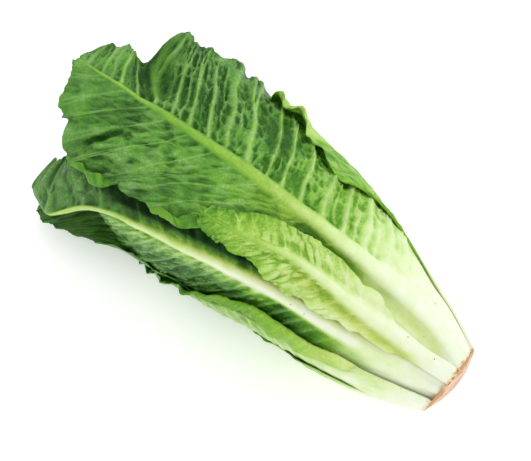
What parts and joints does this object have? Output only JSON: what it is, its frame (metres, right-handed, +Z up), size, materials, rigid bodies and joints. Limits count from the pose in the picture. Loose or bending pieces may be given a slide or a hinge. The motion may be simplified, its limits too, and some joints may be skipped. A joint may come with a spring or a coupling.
{
  "type": "romaine lettuce head",
  "caption": "Romaine lettuce head lying on its side: a cut stem core with long overlapping leaves, white stalks below and ruffled green blades above.",
  "frame": {"origin": "centre of the head's footprint, on the surface it lies on", "axes": "+X along the head towards the cut stem foot, leaf tips towards -X, +Z up"},
  "size_m": [0.2966, 0.15, 0.1037],
  "materials": {
    "stem": "moist cut stem, pale with a pink-brown cut face; plastic stands in for plant tissue",
    "pale_leaf": "thin yellow-green leaf with a soft sheen; plastic stands in for plant tissue",
    "old_leaf": "green blistered leaf, white stalk, soft waxy sheen; plastic stands in for plant tissue",
    "young_leaf": "paler inner leaf with a soft sheen; plastic stands in for plant tissue"
  },
  "bodies": {
    "root": {"core": "stem", "leaf_under": "old_leaf", "leaf_crown": "pale_leaf", "leaf_back": "old_leaf", "leaf_near": "old_leaf", "leaf_long": "old_leaf", "leaf_floor": "old_leaf", "leaf_keeled": "old_leaf", "leaf_young_01": "young_leaf", "leaf_young_02": "young_leaf", "leaf_young_03": "young_leaf", "leaf_young_04": "young_leaf", "leaf_young_05": "young_leaf", "leaf_young_06": "young_leaf", "leaf_young_07": "young_leaf", "leaf_young_08": "young_leaf", "leaf_young_09": "young_leaf", "leaf_young_10": "young_leaf", "leaf_young_11": "young_leaf", "leaf_young_12": "young_leaf", "leaf_young_13": "young_leaf", "leaf_young_14": "young_leaf", "leaf_young_15": "young_leaf", "leaf_young_16": "young_leaf", "leaf_young_17": "young_leaf"}
  },
  "joints": []
}
